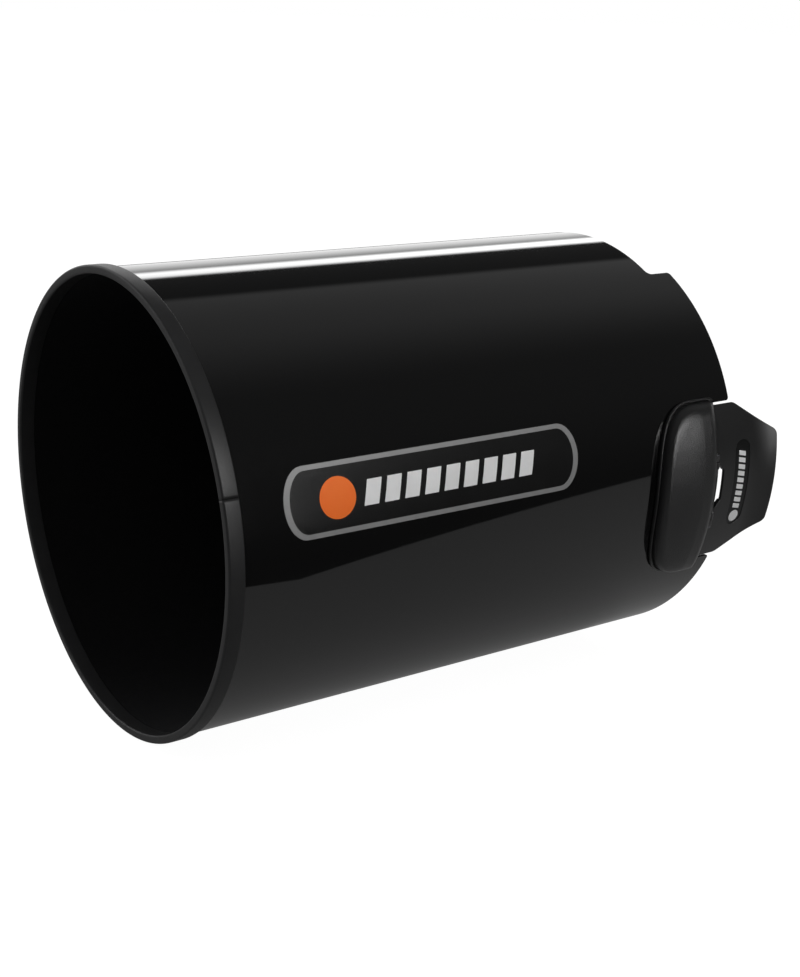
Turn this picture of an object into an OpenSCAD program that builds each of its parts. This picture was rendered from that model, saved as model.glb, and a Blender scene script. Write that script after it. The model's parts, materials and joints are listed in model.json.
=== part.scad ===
// Dew shield (lens hood) with a cam latch, for the front cell of an eight inch catadioptric telescope.
// Millimetres. The optical axis is the Y axis. The origin is the centre of the open rear end, where the
// telescope's front cell enters, and +Y points back along the telescope. +Z is up and +X is the latch side.

/* [Tube] */
// Outer diameter of the tube
tube_d = 240; // [238:1:244]
// Length of the tube itself, without the rubber trim
tube_len = 320; // [260:1:400]
// Thickness of the aluminium wall
tube_wall = 1.6; // [1.4:0.1:1.8]
// Thickness of the felt lining
felt_thick = 1.2; // [1.0:0.1:1.4]

/* [Mounting bar notches] */
// Half of the angle that the top and bottom notches span, in degrees
bar_notch_half = 27; // [20:1:30]
// Depth of all three notches along the axis
notch_depth = 16; // [15.8:0.1:16.2]
// Radius of the notches' inner corners
notch_fillet = 3; // [1:0.5:5]
// Radius of the tube's own corners beside a notch
edge_round = 2; // [1:0.5:3]

/* [Front trim] */
// Length of the rubber edge trim along the axis
trim_len = 8.5; // [7:0.5:12]
// Thickness of the trim's outer leg; the inner one is as thick as the felt
trim_wall = 1.6; // [1.2:0.1:2]
// Thickness of the trim in front of the tube's edge
trim_web = 2; // [1.5:0.1:3]
// Place of the trim's butt seam, in degrees round from the top towards the latch
trim_seam_at = 70.5; // [0:0.5:360]

/* [Label] */
// Length of the label along the tube
label_len = 176.5; // [120:0.1:200]
// Height of the label round the tube
label_h = 34.3; // [30:0.1:38]
// Centre of the label, along the axis
label_y = -202.8; // [-210:0.1:-190]
// Centre of the label, in degrees round from the top towards the latch
label_at = 74.3; // [70:0.1:78]
// Width of the label's frame at top and bottom
label_frame_w = 2.4; // [2:0.1:4]
// Width of the label's frame at the two ends
label_frame_end = 3.2; // [2:0.1:4]
// How far the label's curved ends reach along the axis
label_bulge = 12; // [9:0.5:15]

/* [Latch cover] */
// Half width of the cover round the tube
cover_half_w = 50.6; // [50:0.1:51]
// Front edge of the cover
cover_front = -58.7; // [-60:0.1:-58]
// Rear edge of the cover's two cheeks
cover_rear = -11.5; // [-12:0.1:-11]
// Height of the cover's crown above the tube
cover_crown = 11.5; // [11.3:0.1:12]
// Thickness of the cover's wall
cover_wall = 1.8; // [1.6:0.1:2]

/* [Lever] */
// Half width of the lever's blade, across
blade_half_w = 44.9; // [44:0.1:45.5]
// Thickness of the blade
blade_thick = 2.4; // [2:0.1:2.4]
// Rear tip of the lever
blade_tip = 32.4; // [30:0.1:34]
// How far the lip at the tip flares out
lip_flare = 3.5; // [2:0.1:5]
// Diameter of the hinge pin
pin_d = 2.5; // [2.4:0.1:2.6]
// Height of the hinge pin above the tube's surface
pin_h = 3.6; // [3.6:0.1:3.8]
// Place of the hinge pin along the axis
pin_y = -19.6; // [-19.8:0.1:-19.5]
// Opening angle of the lever
lever_open = 90; // [60:1:90]
// Travel of the clamping shoe over that angle
shoe_travel = 2; // [1.5:0.1:2]

/* [Hidden] */
$fn = 96;
EPS = 0.5;              // how far a cutter runs past what it cuts
GAP = 0.3;              // running room between pieces on different bodies

R = tube_d / 2;
R_IN = R - tube_wall;
BORE_R = R_IN - felt_thick;

// Latch notch in the tube's rear end, and the deeper slot in it for the clamping shoe
LATCH_NOTCH_HALF = blade_half_w + 1.1;
SHOE_HALF = 12.8;
SHOE_FRONT = pin_y - 8;
SHOE_REAR = pin_y + 2.3;
SLOT_HALF = SHOE_HALF + 0.6;
SLOT_DEPTH = -SHOE_FRONT + 0.7;

// Layers of the latch, as radii from the optical axis
GASKET_R = R + 0.6;
BASE_R = GASKET_R + 1.6;
COVER_CENTRE = -30;     // axial station where the cover is widest
COVER_FRONT_N = 2.6;    // roundness of the cover's outline in front of that station
COVER_REAR_N = 10;      // and behind it
FLANGE_H = 2.2;         // height of the narrow flange round the cover's foot
FLANGE_SCALE = 0.955;   // the cover's wall rises this far inside its outline
REAR_SLOPE = 1.12;      // axial run of the cover's rear slope for each millimetre of height
MOUTH_HALF = 21.5;      // half width of the mouth over the hinge
MOUTH_Y = pin_y - 2.9;
LIP_Y = -notch_depth + 0.2;
BACKING_HALF = 24.3;    // half angle of the backing plate
BACKING_FRONT = cover_front + 1.7;

// Hinge
PIN_X = R + pin_h;
PIN_R = pin_d / 2;
KNUCKLE_R = 3.1;
KNUCKLE_FROM = SHOE_HALF + 0.4;
KNUCKLE_TO = 17;
EAR_R = 2.6;
EAR_FROM = KNUCKLE_TO + GAP;
EAR_TO = EAR_FROM + 3;
CLIP_FROM = EAR_TO + 0.15;
CLIP_TO = CLIP_FROM + 0.8;
PIN_HALF = CLIP_TO + 0.35;
RUN = 0.05;             // radial running clearance of a pin or stud
BUSH_R = 2;

// Cam: its height over the pin falls in step with the lever's angle, so a flat follower moves evenly
CAM_FROM = 8;
CAM_CLOSED = 4.2;
CAM_OPEN = CAM_CLOSED - shoe_travel;
CAM_LEAD = shoe_travel / (lever_open * PI / 180);
CAM_STEPS = 18;

// Clamping shoe, drawn with the lever closed
FOLLOWER_X = PIN_X - CAM_CLOSED - RUN;
PAD_R = BORE_R - 0.4;
PAD_THICK = 1.2;
SHOE_PLATE_X = R + 4;
SHOE_PLATE_THICK = 1.5;
SHOE_PLATE_FRONT = pin_y - 16.4;
STUD_R = 1.1;
STUD_Y = pin_y - 11.4;
STUD_Z = 8;

// Screws through the backing plate into inserts in the base
SCREW_R = 1.5;
SCREW_HEAD_R = 2.9;
SCREW_AT = [[-12, -46.5], [12, -46.5], [-14, -35], [14, -35]];
BOSS_TOP = R + 5.6;
INSERT_FROM = R + 2.2;
INSERT_R = 2.3;

// Blade of the lever
BLADE_ROOT = -notch_depth + 1.5;
ROOT_STEP_Y = -11.4;
ROOT_STEP = 0.4;
FLARE_FROM = 16;
INLAY_AT = 90.5;
INLAY_Y = 8.2;
INLAY_LEN = 50.5;
INLAY_W = 11.8;
INLAY_DEPTH = 0.6;

// ---- helpers ---------------------------------------------------------------------------------

// Turns a shape built round Z so that it lies round the optical axis, with its z along +Y
module about_axis() rotate([-90, 0, 0]) children();

// Ring round the optical axis, from one radius to another and one station to another
module ring(r_in, r_out, y_from, y_to) about_axis()
    translate([0, 0, y_from])
        difference() {
            cylinder(r = r_out, h = y_to - y_from, $fn = 240);
            translate([0, 0, -EPS]) cylinder(r = r_in, h = y_to - y_from + 2 * EPS, $fn = 240);
        }

// Carries a flat outline, drawn as [along the axis, across], outwards from one radius to another.
// at is the direction in degrees round from the top: 90 is the latch side
module outwards(r_from, r_to, at = 90) rotate([0, at - 90, 0]) rotate(a = 120, v = [1, 1, 1])
    translate([0, 0, r_from]) linear_extrude(r_to - r_from) children();

// Straight rod along the outward direction at one place of the tube
module rod_out(at, y, r, r_from, r_to) outwards(r_from, r_to, at) translate([y, 0]) circle(r);

// Long shape along the axis with half ellipses as its ends; they are half circles where bulge is h / 2
module stadium(len, h, bulge) {
    square([len - 2 * bulge, h], center = true);
    for (side = [-1, 1]) translate([side * (len / 2 - bulge), 0]) scale([2 * bulge / h, 1]) circle(h / 2);
}

// Slanted bar of the generic pattern, from one station to another, standing on both sides of the middle
module slanted_bar(from, len, h, slant) polygon([
    [from - slant, -h / 2], [from + len - slant, -h / 2], [from + len + slant, h / 2], [from + slant, h / 2]]);

// Arc that rounds the corner at b between the lines to a and c
function unit(v) = v / norm(v);
function corner_arc(a, b, c, r, steps = 6) =
    let (u = unit(a - b),
         w = unit(c - b),
         half = acos(u * w) / 2,
         reach = r / tan(half),
         middle = b + unit(u + w) * r / sin(half),
         p = b + u * reach - middle,
         q = b + w * reach - middle)
    [for (i = [0:steps]) middle + unit(p * (steps - i) / steps + q * i / steps) * r];

// Closed outline with each of its corners rounded
function rounded(points, radii) =
    [for (i = [0:len(points) - 1])
        each corner_arc(points[(i + len(points) - 1) % len(points)], points[i],
                        points[(i + 1) % len(points)], radii[i])];

// Outline of a notch that opens at the rear end, with rounded corners inside and out
function edge_arc(side, half_w, angles) =
    [for (t = angles) [edge_round * (cos(t) - 1), side * (half_w + edge_round * (1 - sin(t)))]];
module notch(half_w, depth) polygon(concat(
    [[2, -half_w - edge_round]],
    edge_arc(-1, half_w, [0:15:90]),
    corner_arc([0, -half_w], [-depth, -half_w], [-depth, half_w], notch_fillet),
    corner_arc([-depth, -half_w], [-depth, half_w], [0, half_w], notch_fillet),
    edge_arc(1, half_w, [90:-15:0]),
    [[2, half_w + edge_round]]));

// The three notches and the slot for the shoe, grown by a margin
module rear_cuts(margin = 0) {
    bar_half = R * sin(bar_notch_half) + margin;
    for (at = [0, 180]) outwards(R / 2, R * 1.2, at) notch(bar_half, notch_depth + margin);
    outwards(R / 2, R * 1.2) notch(LATCH_NOTCH_HALF + margin, notch_depth + margin);
    outwards(R / 2, R * 1.2) shoe_slot(margin);
}

module shoe_slot(margin = 0) translate([-SLOT_DEPTH - margin, -SLOT_HALF - margin])
    square([SLOT_DEPTH - notch_depth / 2, 2 * (SLOT_HALF + margin)]);

// Screw head and shank, as a cutter when clear is more than nothing
module screw(at, y, clear = 0) rotate([0, at - 90, 0]) translate([0, y, 0]) rotate([0, 90, 0]) {
    translate([0, 0, BORE_R + 0.1]) cylinder(r1 = SCREW_HEAD_R + clear, r2 = SCREW_R + clear, h = 1.5);
    translate([0, 0, BORE_R + 0.1]) cylinder(r = SCREW_R + clear, h = BOSS_TOP - BORE_R - 0.6);
}

// ---- tube, lining and trim -------------------------------------------------------------------

module shield_tube() color([0.03, 0.03, 0.035]) difference() {
    ring(R_IN, R, -tube_len, 0);
    rear_cuts();
    for (p = SCREW_AT) screw(90 + p[0], p[1], 0.1);
}

module felt_liner() color([0.02, 0.02, 0.02]) difference() {
    ring(BORE_R, R_IN, trim_back(), 0);
    rear_cuts(0.8);
    outwards(R / 2, R * 1.2)
        translate([BACKING_FRONT - 0.4, -R * sin(BACKING_HALF) - 0.4])
            square([-BACKING_FRONT + 2, 2 * (R * sin(BACKING_HALF) + 0.4)]);
}

function trim_front() = -tube_len - trim_web;
function trim_back() = trim_front() + trim_len;

module front_trim() color([0.12, 0.12, 0.12]) {
    outer = R + trim_wall;
    seam_gap = 0.12;
    profile = concat(
        rounded([[BORE_R, trim_back()], [BORE_R, trim_front()], [outer, trim_front()], [outer, trim_back()],
                 [R, trim_back()], [R, -tube_len], [R_IN, -tube_len], [R_IN, trim_back()]],
                [0.3, 1, 1, 0.6, 0.3, 0.05, 0.05, 0.3]));
    about_axis() rotate(trim_seam_at - 90)
        rotate_extrude(angle = 360 - seam_gap, $fn = 240) polygon(profile);
}

// ---- label -----------------------------------------------------------------------------------

LABEL_R = R + 0.3;
MARK_R = R + 0.45;

// Layer of the label: a flat outline carried out through a thin ring on the tube
module label_layer(r_from, r_to) intersection() {
    ring(r_from, r_to, label_y - label_len, label_y + label_len);
    outwards(R / 2, R * 1.2, label_at) translate([label_y, 0]) children();
}

module label_inside()
    stadium(label_len - 2 * label_frame_end, label_h - 2 * label_frame_w, label_bulge - label_frame_end + 0.8);

module label_frame() color([0.42, 0.42, 0.42]) label_layer(R, LABEL_R) difference() {
    stadium(label_len, label_h, label_bulge);
    label_inside();
}

module label_panel() color([0.03, 0.03, 0.03]) label_layer(R, LABEL_R) label_inside();

// Plain round dot, and a row of slanted bars behind it
DOT_Y = -59.2;
DOT_R = 10;
BARS_Y = -43.6;
BAR_COUNT = 9;
BAR_LEN = 8.3;
BAR_STEP = 11.7;
BAR_H = 12.2;
BAR_SLANT = 1.5;

module label_dot() color([0.85, 0.3, 0.08]) label_layer(LABEL_R, MARK_R)
    translate([DOT_Y, 0]) circle(DOT_R);

module label_bars() color([0.85, 0.85, 0.85]) label_layer(LABEL_R, MARK_R)
    for (i = [0:BAR_COUNT - 1]) slanted_bar(BARS_Y + i * BAR_STEP, BAR_LEN, BAR_H, BAR_SLANT);

// ---- latch housing ---------------------------------------------------------------------------

// Outline of the cover, as [along the axis, arc across] in direction t, drawn in by inset
function outline_n(t) = sin(t) < 0 ? COVER_FRONT_N : COVER_REAR_N;
function outline_reach(t, inset) = (sin(t) < 0 ? COVER_CENTRE - cover_front : cover_rear - COVER_CENTRE) - inset;
function outline_point(t, inset) =
    let (n = outline_n(t),
         k = pow(pow(abs(cos(t)), n) + pow(abs(sin(t)), n), -1 / n))
    [COVER_CENTRE + k * sin(t) * outline_reach(t, inset), k * cos(t) * (cover_half_w - inset)];

// Arc across the tube as a straight distance from the latch's centre plane
function across(s) = R * sin(s / R * 180 / PI);

module cover_outline(inset) polygon([for (t = [0:5:355])
    let (p = outline_point(t, inset)) [p[0], across(p[1])]]);

module latch_gasket() color([0.05, 0.05, 0.05]) difference() {
    intersection() {
        ring(R, GASKET_R, cover_front - 1, 0);
        outwards(R / 2, R * 1.2) cover_outline(0.6);
    }
    rear_cuts(0.1);
    for (p = SCREW_AT) screw(90 + p[0], p[1], 0.1);
}

BASE_INSET = 6.5;
BASE_REAR = -notch_depth - 2;

module latch_base() color([0.08, 0.08, 0.08]) difference() {
    union() {
        intersection() {
            ring(GASKET_R, BASE_R, cover_front - 1, BASE_REAR);
            outwards(R / 2, R * 1.2) cover_outline(BASE_INSET);
        }
        for (p = SCREW_AT) rod_out(90 + p[0], p[1], 3.4, GASKET_R, BOSS_TOP);
        for (side = [-1, 1]) difference() {
            translate([0, 0, side * (EAR_FROM + EAR_TO) / 2]) {
                translate([PIN_X, pin_y, 0]) cylinder(r = EAR_R, h = EAR_TO - EAR_FROM, center = true);
                translate([R - 4, pin_y - EAR_R, -(EAR_TO - EAR_FROM) / 2])
                    cube([PIN_X - R + 4, 2 * EAR_R, EAR_TO - EAR_FROM]);
            }
            ring(R / 2, GASKET_R, pin_y - 10, pin_y + 10);
        }
    }
    outwards(R / 2, R * 1.2) shoe_slot(-0.2);
    translate([R - 8, KNUCKLE_ROOM_FRONT, -EAR_FROM + 0.1])
        cube([20, -KNUCKLE_ROOM_FRONT, 2 * (EAR_FROM - 0.1)]);
    translate([PIN_X, pin_y, 0]) cylinder(r = PIN_R, h = 4 * PIN_HALF, center = true);
    for (p = SCREW_AT) {
        screw(90 + p[0], p[1], 0.1);
        rod_out(90 + p[0], p[1], INSERT_R, INSERT_FROM, BOSS_TOP + EPS);
    }
    for (side = [-1, 1]) stud_axis(side) cylinder(r = STUD_R, h = 20);
}
KNUCKLE_ROOM_FRONT = pin_y - KNUCKLE_R - 0.5;

// Smooth minimum: the two surfaces blend over a height of k
function soft_min(a, b, k) = let (h = max(k - abs(a - b), 0) / k) min(a, b) - h * h * k / 4;

// How far out a point is in the cover's outline drawn in by inset: 1 is on it
function spread(y, s, inset) =
    let (front = y < COVER_CENTRE,
         n = front ? COVER_FRONT_N : COVER_REAR_N,
         reach = (front ? COVER_CENTRE - cover_front : cover_rear - COVER_CENTRE) - inset)
    pow(pow(abs(s) / (cover_half_w - inset), n) + pow(abs(y - COVER_CENTRE) / reach, n), 1 / n);

// Height of the cover over the tube: top face that falls towards the front, rear slope and rounded wall, blended
WALL_N = 8;
RIDGE_Y = -33;
TOP_FALL = 0.17;
function wall_height(e) = FLANGE_H + (e >= 1 ? 0 : (cover_crown - FLANGE_H) * sqrt(1 - pow(e, WALL_N)));
function crown_height(y, s) = cover_crown - max(RIDGE_Y - y, 0) * TOP_FALL - pow(s / cover_half_w, 4) * 2.2;
function slope_height(y) = (cover_rear - 0.8 - y) / REAR_SLOPE;
function cover_top(y, s) =
    max(FLANGE_H - 0.6, soft_min(soft_min(wall_height(spread(y, s, 0) / FLANGE_SCALE), crown_height(y, s), 1.8),
                                 max(slope_height(y), FLANGE_H - 0.6), 2.5));
function cover_under(y, s) =
    let (e = spread(y, s, cover_wall + 0.7) / FLANGE_SCALE)
    e >= 1 ? GASKET_R - R
           : max(GASKET_R - R, min(cover_top(y, s) - cover_wall, (cover_crown - cover_wall) * sqrt(1 - pow(e, WALL_N))));

// Rear rim of the cover: back over the hinge in the mouth, on the notch's edge beside it, cheeks outside
function blend(x, from, to) = let (k = min(max((x - from) / (to - from), 0), 1)) k * k * (3 - 2 * k);
function rear_edge(s) =
    let (across_outline = COVER_CENTRE + (cover_rear - COVER_CENTRE)
             * pow(max(1 - pow(abs(s) / cover_half_w, COVER_REAR_N), 0), 1 / COVER_REAR_N),
         inner = MOUTH_Y + (LIP_Y - MOUTH_Y) * blend(abs(s), MOUTH_HALF, MOUTH_HALF + 4))
    min(across_outline, inner + (cover_rear - LIP_Y) * blend(abs(s), CHEEK_FROM, CHEEK_FROM + 0.5));
CHEEK_FROM = 48.1;
function front_edge(s) = COVER_CENTRE - (COVER_CENTRE - cover_front)
    * pow(max(1 - pow(abs(s) / cover_half_w, COVER_FRONT_N), 0), 1 / COVER_FRONT_N);

// Point of the cover at height h over the tube
function on_tube(y, s, h) = let (a = s / R * 180 / PI) [(R + h) * cos(a), y, (R + h) * sin(a)];

// The cover is a shell over a grid of cols by rows places: its top, its underside and the four edges
COVER_COLS = 44;
COVER_ROWS = 22;
COVER_POINTS = (COVER_COLS + 1) * (COVER_ROWS + 1);
function grid(i, j) = i * (COVER_ROWS + 1) + j;
function edge(a, b) = [[a, b, COVER_POINTS + b], [a, COVER_POINTS + b, COVER_POINTS + a]];

module latch_cover() color([0.1, 0.1, 0.1]) {
    places = [for (i = [0:COVER_COLS]) for (j = [0:COVER_ROWS])
        let (s = 0.999 * cover_half_w * sin(180 * i / COVER_COLS - 90),
             v = (1 - cos(180 * j / COVER_ROWS)) / 2)
        [front_edge(s) + v * (rear_edge(s) - front_edge(s)), s]];
    top = [for (p = places) on_tube(p[0], p[1], cover_top(p[0], p[1]))];
    under = [for (p = places) on_tube(p[0], p[1], cover_under(p[0], p[1]))];
    skin = [for (i = [0:COVER_COLS - 1]) for (j = [0:COVER_ROWS - 1])
        each [[grid(i, j), grid(i + 1, j + 1), grid(i, j + 1)],
              [grid(i, j), grid(i + 1, j), grid(i + 1, j + 1)]]];
    lining = [for (f = skin) [COVER_POINTS + f[0], COVER_POINTS + f[2], COVER_POINTS + f[1]]];
    edges = concat(
        [for (i = [0:COVER_COLS - 1]) each edge(grid(i + 1, 0), grid(i, 0))],
        [for (i = [0:COVER_COLS - 1]) each edge(grid(i, COVER_ROWS), grid(i + 1, COVER_ROWS))],
        [for (j = [0:COVER_ROWS - 1]) each edge(grid(0, j), grid(0, j + 1))],
        [for (j = [0:COVER_ROWS - 1]) each edge(grid(COVER_COLS, j + 1), grid(COVER_COLS, j))]);
    polyhedron(concat(top, under), concat(skin, lining, edges));
}

module backing_plate() color([0.25, 0.25, 0.26]) difference() {
    about_axis() rotate(-BACKING_HALF)
        rotate_extrude(angle = 2 * BACKING_HALF, $fn = 240)
            translate([BORE_R, BACKING_FRONT]) square([felt_thick, -BACKING_FRONT]);
    rear_cuts(0);
    for (p = SCREW_AT) screw(90 + p[0], p[1], 0.05);
}

module base_screws() color([0.6, 0.6, 0.62]) for (p = SCREW_AT) screw(90 + p[0], p[1]);

module screw_inserts() color([0.75, 0.6, 0.3]) for (p = SCREW_AT) difference() {
    rod_out(90 + p[0], p[1], INSERT_R, INSERT_FROM, BOSS_TOP);
    rod_out(90 + p[0], p[1], SCREW_R, INSERT_FROM - EPS, BOSS_TOP + EPS);
}

// ---- hinge, studs and springs ------------------------------------------------------------------

module hinge_pin() color([0.7, 0.7, 0.72])
    translate([PIN_X, pin_y, 0]) cylinder(r = PIN_R, h = 2 * PIN_HALF, center = true);

module pin_clips() color([0.3, 0.3, 0.32]) for (side = [-1, 1])
    translate([PIN_X, pin_y, side * (CLIP_FROM + CLIP_TO) / 2]) difference() {
        cylinder(r = 2.3, h = CLIP_TO - CLIP_FROM, center = true);
        cylinder(r = PIN_R, h = 2 * CLIP_TO, center = true);
    }

// Axis of one guide stud, with z outwards
module stud_axis(side) translate([GASKET_R - 1, STUD_Y, side * STUD_Z]) rotate([0, 90, 0]) children();

STUD_HEAD_X = SHOE_PLATE_X + SHOE_PLATE_THICK + shoe_travel + 0.2;
module guide_studs() color([0.65, 0.65, 0.67]) difference() {
    for (side = [-1, 1]) stud_axis(side) {
        cylinder(r = STUD_R, h = STUD_HEAD_X - GASKET_R + 1);
        translate([0, 0, STUD_HEAD_X - GASKET_R + 1]) cylinder(r = 2, h = 0.5);
    }
    ring(R / 2, GASKET_R, STUD_Y - 10, STUD_Y + 10);
}

module return_springs() color([0.6, 0.6, 0.62]) for (side = [-1, 1])
    translate([BASE_R, STUD_Y, side * STUD_Z]) rotate([0, 90, 0]) difference() {
        cylinder(r = 2.1, h = SHOE_PLATE_X - BASE_R - 0.05);
        translate([0, 0, -EPS]) cylinder(r = 1.5, h = 5);
    }

// ---- lever -------------------------------------------------------------------------------------

// Height of the blade's outer face over the tube at one station
function flare(y) = y < FLARE_FROM ? 0 : lip_flare * pow((y - FLARE_FROM) / (blade_tip - FLARE_FROM), 2);

module blade_profile() polygon(concat(
    [[R - ROOT_STEP, BLADE_ROOT], [R - ROOT_STEP, ROOT_STEP_Y], [R, ROOT_STEP_Y + ROOT_STEP]],
    [for (i = [0:8]) let (y = FLARE_FROM + (blade_tip - FLARE_FROM) * i / 8) [R + flare(y), y]],
    [for (i = [8:-1:0]) let (y = FLARE_FROM + (blade_tip - FLARE_FROM) * i / 8)
        [R + flare(y) - blade_thick, y]],
    [[R - blade_thick, BLADE_ROOT]]));

module blade_outline() {
    side = [[BLADE_ROOT, blade_half_w, 1], [3.2, blade_half_w, 7], [blade_tip, 27.3, 4.5]];
    corners = concat(side, [for (i = [2:-1:0]) [side[i][0], -side[i][1], side[i][2]]]);
    polygon(rounded([for (p = corners) [p[0], p[1]]], [for (p = corners) p[2]]));
}

module window_outline() polygon(rounded(
    [[-10.8, -14.2], [-10.8, 14.2], [-6.3, 8.6], [-6.3, -8.6]], [0.5, 0.5, 2, 2]));

module inlay_outline() translate([INLAY_Y, 0]) rotate(90) stadium(INLAY_LEN, INLAY_W, INLAY_W / 2);

// Cam lobe: the flat follower's distance from the pin is CAM_CLOSED - CAM_LEAD * angle
function cam_point(angle) =
    let (h = CAM_CLOSED - CAM_LEAD * angle * PI / 180)
    [-h * cos(angle) - CAM_LEAD * sin(angle), -h * sin(angle) + CAM_LEAD * cos(angle)];

// Web from the hinge to the blade, in the plane across the pin, from its underside round to its top
NECK = [[-3.5, 2.6], [-3.6, 4.4], [-5, 5.4], [-6.8, 5.4], [-7, 8.4], [-3.9, 8.4]];

module cam_section() polygon(concat(
    [for (i = [CAM_STEPS:-1:0]) cam_point(lever_open * i / CAM_STEPS)],
    NECK,
    [for (t = [40:-10:-90]) CAM_OPEN * [cos(t), sin(t)]]));

module knuckle_section() {
    circle(KNUCKLE_R);
    polygon(concat([[-1, -1], [-2.4, 1.2]], NECK, [[1.8, 1.8]]));
}

module along_pin(z_from, z_to) for (side = [-1, 1])
    translate([PIN_X, pin_y, side > 0 ? z_from : -z_to]) linear_extrude(z_to - z_from) children();

module lever() color([0.12, 0.12, 0.12]) difference() {
    union() {
        intersection() {
            about_axis() rotate(-30) rotate_extrude(angle = 60, $fn = 240) blade_profile();
            outwards(R / 2, R * 1.2) blade_outline();
        }
        difference() {
            union() {
                along_pin(CAM_FROM, SHOE_HALF) cam_section();
                along_pin(SHOE_HALF, KNUCKLE_TO) knuckle_section();
            }
            ring(R / 2, R - blade_thick / 2, pin_y, 0);
        }
    }
    outwards(R / 2, R * 1.2) window_outline();
    outwards(R / 2, R - 1.6) translate([-9.4, -9]) square([4.4, 18]);
    along_pin(0, KNUCKLE_TO + EPS) circle(PIN_R + RUN);
    along_pin(KNUCKLE_FROM, KNUCKLE_TO + EPS) circle(BUSH_R);
    intersection() {
        ring(R - INLAY_DEPTH, R + 5, INLAY_Y - INLAY_W, INLAY_Y + INLAY_W);
        outwards(R / 2, R * 1.2, INLAY_AT) inlay_outline();
    }
}

module hinge_bushes() color([0.9, 0.9, 0.85]) along_pin(KNUCKLE_FROM, KNUCKLE_TO) difference() {
    circle(BUSH_R);
    circle(PIN_R + RUN);
}

module lever_inlay() color([0.02, 0.02, 0.02]) intersection() {
    ring(R - INLAY_DEPTH, R - INLAY_DEPTH + 0.25, INLAY_Y - INLAY_W, INLAY_Y + INLAY_W);
    outwards(R / 2, R * 1.2, INLAY_AT) inlay_outline();
}

// Row of slanted bars along the inlay, with a dot at its lower end
INLAY_BARS_FROM = -15.2;
INLAY_BAR_STEP = 3.9;

module lever_marks() color([0.85, 0.85, 0.85]) intersection() {
    ring(R - INLAY_DEPTH + 0.25, R - INLAY_DEPTH + 0.4, INLAY_Y - INLAY_W, INLAY_Y + INLAY_W);
    outwards(R / 2, R * 1.2, INLAY_AT) translate([INLAY_Y, 0]) rotate(90) {
        translate([-20.2, 0]) circle(3.5);
        for (i = [0:BAR_COUNT - 1]) slanted_bar(INLAY_BARS_FROM + i * INLAY_BAR_STEP, 2.7, 5.2, 0.6);
    }
}

// ---- clamping shoe -----------------------------------------------------------------------------

module pressure_shoe() color([0.35, 0.35, 0.37]) difference() {
    union() {
        difference() {
            union() {
                translate([R - 6, SHOE_FRONT + 2.3, -SHOE_HALF])
                    cube([FOLLOWER_X - R + 6, SHOE_REAR - SHOE_FRONT - 2.3, 2 * SHOE_HALF]);
                translate([R - 6, SHOE_FRONT + 2.3, -CAM_FROM + GAP])
                    cube([6, SHOE_REAR - SHOE_FRONT - 2.3, 2 * (CAM_FROM - GAP)]);
                translate([R - 6, SHOE_FRONT, -SHOE_HALF])
                    cube([SHOE_PLATE_X + SHOE_PLATE_THICK - R + 6, 2.3, 2 * SHOE_HALF]);
            }
            ring(R / 2, PAD_R + PAD_THICK, SHOE_FRONT - EPS, SHOE_REAR + EPS);
        }
        translate([SHOE_PLATE_X, SHOE_PLATE_FRONT, -SHOE_HALF])
            cube([SHOE_PLATE_THICK, SHOE_FRONT - SHOE_PLATE_FRONT + EPS, 2 * SHOE_HALF]);
    }
    for (side = [-1, 1]) stud_axis(side) cylinder(r = STUD_R + RUN, h = 20);
}

module shoe_pad() color([0.06, 0.06, 0.06]) intersection() {
    ring(PAD_R, PAD_R + PAD_THICK, SHOE_FRONT + 0.2, SHOE_REAR - 0.2);
    translate([R / 2, -R, -SHOE_HALF + 0.3]) cube([R, R, 2 * (SHOE_HALF - 0.3)]);
}

shield_tube();
felt_liner();
front_trim();
label_frame();
label_panel();
label_dot();
label_bars();
latch_gasket();
latch_base();
latch_cover();
backing_plate();
base_screws();
screw_inserts();
hinge_pin();
pin_clips();
guide_studs();
return_springs();
lever();
hinge_bushes();
lever_inlay();
lever_marks();
pressure_shoe();
shoe_pad();
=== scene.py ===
import json
import math

import bmesh
import bpy
import numpy as np
from mathutils import Matrix, Vector
from mathutils.geometry import delaunay_2d_cdt

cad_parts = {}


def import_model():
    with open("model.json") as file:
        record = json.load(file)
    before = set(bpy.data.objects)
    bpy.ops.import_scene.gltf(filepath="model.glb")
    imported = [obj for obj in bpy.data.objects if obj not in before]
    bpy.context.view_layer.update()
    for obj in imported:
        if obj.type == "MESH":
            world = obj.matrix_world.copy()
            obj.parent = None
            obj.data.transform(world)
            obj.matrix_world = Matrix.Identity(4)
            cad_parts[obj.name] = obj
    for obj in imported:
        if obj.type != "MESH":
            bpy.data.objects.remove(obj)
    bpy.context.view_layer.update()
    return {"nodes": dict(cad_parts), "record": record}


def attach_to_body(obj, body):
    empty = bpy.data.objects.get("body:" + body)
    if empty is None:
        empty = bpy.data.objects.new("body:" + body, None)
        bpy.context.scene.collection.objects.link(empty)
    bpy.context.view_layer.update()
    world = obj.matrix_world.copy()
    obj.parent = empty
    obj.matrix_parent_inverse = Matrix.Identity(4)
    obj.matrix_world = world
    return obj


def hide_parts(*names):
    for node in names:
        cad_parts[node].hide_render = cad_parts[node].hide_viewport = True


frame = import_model()
nodes = frame["nodes"]
scene = bpy.context.scene
MM = 0.001

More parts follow.
